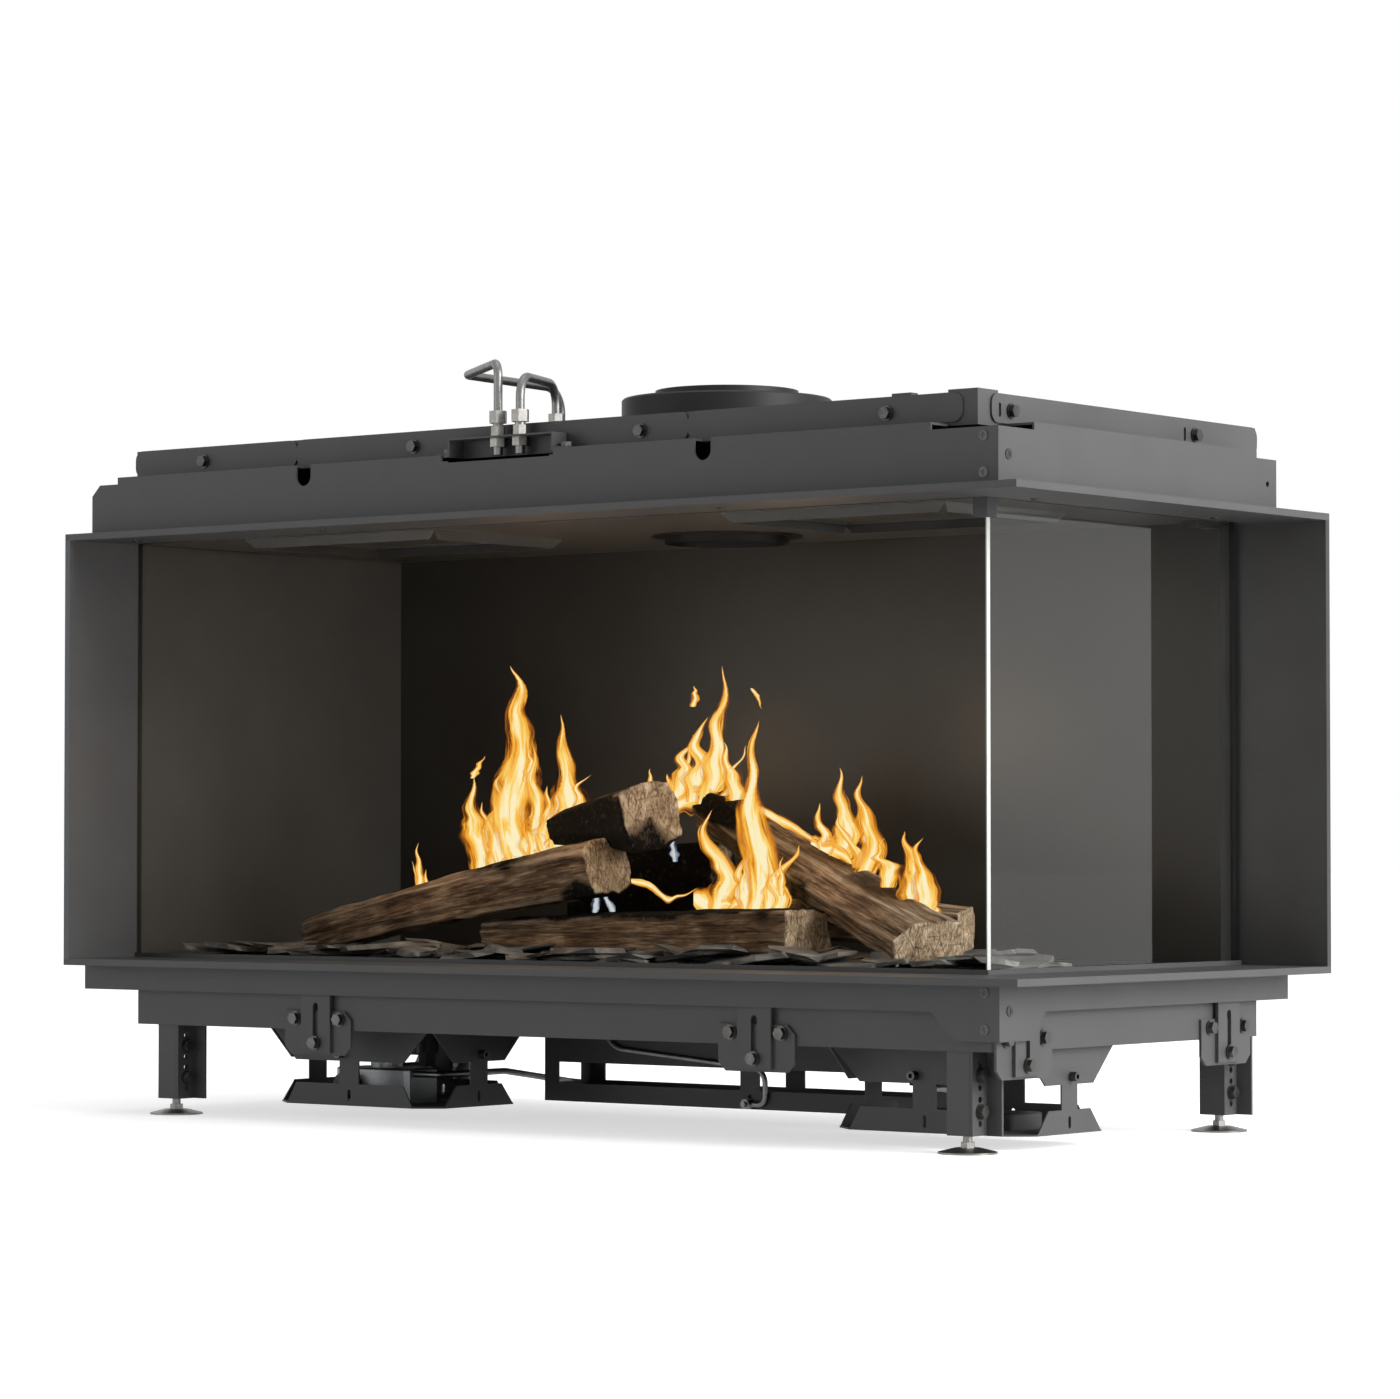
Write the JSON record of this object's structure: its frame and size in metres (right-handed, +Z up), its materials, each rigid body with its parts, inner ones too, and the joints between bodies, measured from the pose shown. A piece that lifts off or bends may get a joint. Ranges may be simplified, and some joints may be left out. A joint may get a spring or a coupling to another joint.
{
  "type": "corner gas fireplace",
  "caption": "Built-in gas fireplace with glazed front and right side, log fire bed, concentric flue collar, relief hatches, adjustable plinth frame and hung control cradles.",
  "frame": {"origin": "on the floor under the middle of the casing", "axes": "+X to the glazed side end, +Y to the back wall, +Z up"},
  "size_m": [1.098, 0.501, 0.6934],
  "materials": {
    "powder_coated_steel": "satin",
    "zinc_plated_steel": "satin",
    "heat_resistant_steel": "matte",
    "cast_aluminium": "satin",
    "black_plastic": "matte",
    "ceramic_glass": "polished",
    "ceramic_log": "rough",
    "slate": "rough"
  },
  "bodies": {
    "casing": {"back_liner": "powder_coated_steel", "back_wall": "powder_coated_steel", "base_plate": "powder_coated_steel", "burner_pan": "powder_coated_steel", "burners": "heat_resistant_steel", "casing_screws": "zinc_plated_steel", "ceiling_panel": "powder_coated_steel", "cradle_left": "powder_coated_steel", "cradle_middle": "powder_coated_steel", "cradle_right": "powder_coated_steel", "cradle_studs": "zinc_plated_steel", "floor_sheet": "powder_coated_steel", "flue_collar": "heat_resistant_steel", "flue_inner": "heat_resistant_steel", "gas_tubes": "zinc_plated_steel", "gas_valve": "cast_aluminium", "glass_clips": "zinc_plated_steel", "glass_guides": "powder_coated_steel", "glass_sills": "powder_coated_steel", "left_wall": "powder_coated_steel", "log_front": "ceramic_log", "log_left": "ceramic_log", "log_right": "ceramic_log", "log_top": "ceramic_log", "logs_back": "ceramic_log", "lower_front_apron": "powder_coated_steel", "lower_skirt": "powder_coated_steel", "pilot_burner": "heat_resistant_steel", "receiver_box": "powder_coated_steel", "relief_frames": "powder_coated_steel", "rim_strips": "powder_coated_steel", "roof_plate": "powder_coated_steel", "slate_chips": "slate", "slot_hangers": "powder_coated_steel", "test_bracket": "powder_coated_steel", "test_fittings": "zinc_plated_steel", "test_tubes": "zinc_plated_steel", "top_plate": "powder_coated_steel", "upper_front_fascia": "powder_coated_steel", "upper_skirt": "powder_coated_steel"},
    "front_glass": {"front_glass": "ceramic_glass"},
    "side_glass": {"side_glass": "ceramic_glass"},
    "relief_lid_left": {"relief_lid_left": "powder_coated_steel"},
    "relief_lid_right": {"relief_lid_right": "powder_coated_steel"},
    "valve_knob": {"valve_knob": "black_plastic"},
    "base_frame": {"front_rail": "powder_coated_steel", "right_rail": "powder_coated_steel", "rear_rails": "powder_coated_steel", "clamp_plates": "powder_coated_steel", "leg_angles": "powder_coated_steel", "frame_screws": "zinc_plated_steel"},
    "leg_front_left": {"leg_front_left": "powder_coated_steel"},
    "foot_front_left": {"foot_front_left": "zinc_plated_steel"},
    "leg_front_right": {"leg_front_right": "powder_coated_steel"},
    "foot_front_right": {"foot_front_right": "zinc_plated_steel"},
    "leg_rear_left": {"leg_rear_left": "powder_coated_steel"},
    "foot_rear_left": {"foot_rear_left": "zinc_plated_steel"},
    "leg_rear_right": {"leg_rear_right": "powder_coated_steel"},
    "foot_rear_right": {"foot_rear_right": "zinc_plated_steel"}
  },
  "joints": [
    {"name": "plinth_height", "type": "slide", "parent": "casing", "child": "base_frame", "axis": [0, 0, 1], "range_m": [0, 0.014]},
    {"name": "front_glass_lift", "type": "slide", "parent": "casing", "child": "front_glass", "axis": [0, 0, 1], "range_m": [0, 0.01]},
    {"name": "side_glass_lift", "type": "slide", "parent": "casing", "child": "side_glass", "axis": [0, 0, 1], "range_m": [0, 0.01]},
    {"name": "relief_lid_left_lift", "type": "slide", "parent": "casing", "child": "relief_lid_left", "axis": [0, 0, 1], "range_m": [0, 0.012]},
    {"name": "relief_lid_right_lift", "type": "slide", "parent": "casing", "child": "relief_lid_right", "axis": [0, 0, 1], "range_m": [0, 0.012]},
    {"name": "valve_knob_turn", "type": "hinge", "parent": "casing", "child": "valve_knob", "pos_m": [-0.2965, -0.1185, 0.029], "axis": [0, -1, 0], "range_deg": [0, 90]},
    {"name": "leg_front_left_extend", "type": "slide", "parent": "base_frame", "child": "leg_front_left", "axis": [0, 0, -1], "range_m": [0, 0.04]},
    {"name": "foot_front_left_level", "type": "slide", "parent": "leg_front_left", "child": "foot_front_left", "axis": [0, 0, -1], "range_m": [-0.004, 0.025]},
    {"name": "leg_front_right_extend", "type": "slide", "parent": "base_frame", "child": "leg_front_right", "axis": [0, 0, -1], "range_m": [0, 0.04]},
    {"name": "foot_front_right_level", "type": "slide", "parent": "leg_front_right", "child": "foot_front_right", "axis": [0, 0, -1], "range_m": [-0.004, 0.025]},
    {"name": "leg_rear_left_extend", "type": "slide", "parent": "base_frame", "child": "leg_rear_left", "axis": [0, 0, -1], "range_m": [0, 0.04]},
    {"name": "foot_rear_left_level", "type": "slide", "parent": "leg_rear_left", "child": "foot_rear_left", "axis": [0, 0, -1], "range_m": [-0.004, 0.025]},
    {"name": "leg_rear_right_extend", "type": "slide", "parent": "base_frame", "child": "leg_rear_right", "axis": [0, 0, -1], "range_m": [0, 0.04]},
    {"name": "foot_rear_right_level", "type": "slide", "parent": "leg_rear_right", "child": "foot_rear_right", "axis": [0, 0, -1], "range_m": [-0.004, 0.025]}
  ]
}
